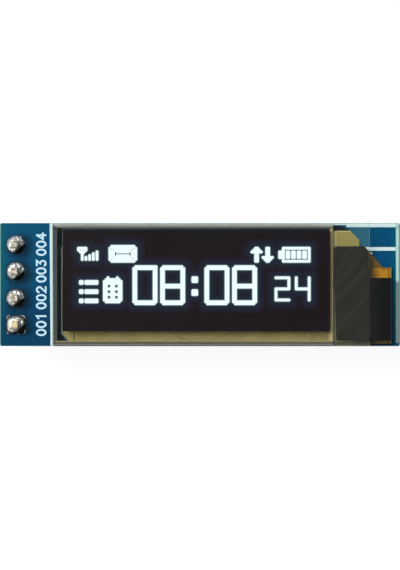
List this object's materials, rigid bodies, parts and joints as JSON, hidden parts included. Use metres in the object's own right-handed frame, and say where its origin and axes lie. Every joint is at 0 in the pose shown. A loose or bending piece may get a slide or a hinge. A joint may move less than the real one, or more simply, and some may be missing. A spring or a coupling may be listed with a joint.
{
  "type": "small oled display module",
  "caption": "Narrow OLED display glass taped to a blue carrier board, its folded flex circuit soldered to the board, with a straight pin header through the other end.",
  "frame": {"origin": "middle of the four-pin row, on the free face of the header moulding, which a socket meets", "axes": "+X along the board from the header towards the folded flex, +Y across the board, +Z out of the viewing side; the pins point along -Z"},
  "size_m": [0.038, 0.0116, 0.0115],
  "materials": {
    "solder_mask": "gloss",
    "tinned_metal": "satin",
    "header_plastic": "satin",
    "solder": "satin",
    "gold_pins": "satin",
    "adhesive_sheet": "matte",
    "glass": "gloss",
    "sealing_resin": "matte",
    "drying_sheet": "matte",
    "emitter": "gloss",
    "polarizer_film": "gloss",
    "silicon": "gloss",
    "polyimide": "satin",
    "black_tape": "matte",
    "chip_plastic": "matte",
    "capacitor_ceramic": "matte",
    "resistor_ceramic": "satin"
  },
  "bodies": {
    "root": {"pcb": "solder_mask", "plated_holes": "tinned_metal", "header_moulding": "header_plastic", "header_pin_1": "gold_pins", "header_pin_2": "gold_pins", "header_pin_3": "gold_pins", "header_pin_4": "gold_pins", "solder_joint_1": "solder", "solder_joint_2": "solder", "solder_joint_3": "solder", "solder_joint_4": "solder", "mounting_sheet": "adhesive_sheet", "cover_glass": "glass", "edge_seal": "sealing_resin", "getter_sheet": "drying_sheet", "emitter_layers": "emitter", "front_glass": "glass", "polarizer": "polarizer_film", "driver_chip": "silicon", "flex_circuit": "polyimide", "flex_fingers": "solder", "shield_tape": "black_tape", "regulator_body": "chip_plastic", "regulator_leads": "tinned_metal", "capacitor_1": "capacitor_ceramic", "capacitor_2": "capacitor_ceramic", "capacitor_3": "capacitor_ceramic", "capacitor_4": "capacitor_ceramic", "capacitor_5": "capacitor_ceramic", "capacitor_6": "capacitor_ceramic", "capacitor_7": "capacitor_ceramic", "capacitor_ends": "tinned_metal", "resistor_1": "resistor_ceramic", "resistor_2": "resistor_ceramic", "resistor_3": "resistor_ceramic", "resistor_4": "resistor_ceramic", "resistor_5": "resistor_ceramic", "resistor_ends": "tinned_metal", "part_solder": "solder"}
  },
  "joints": []
}
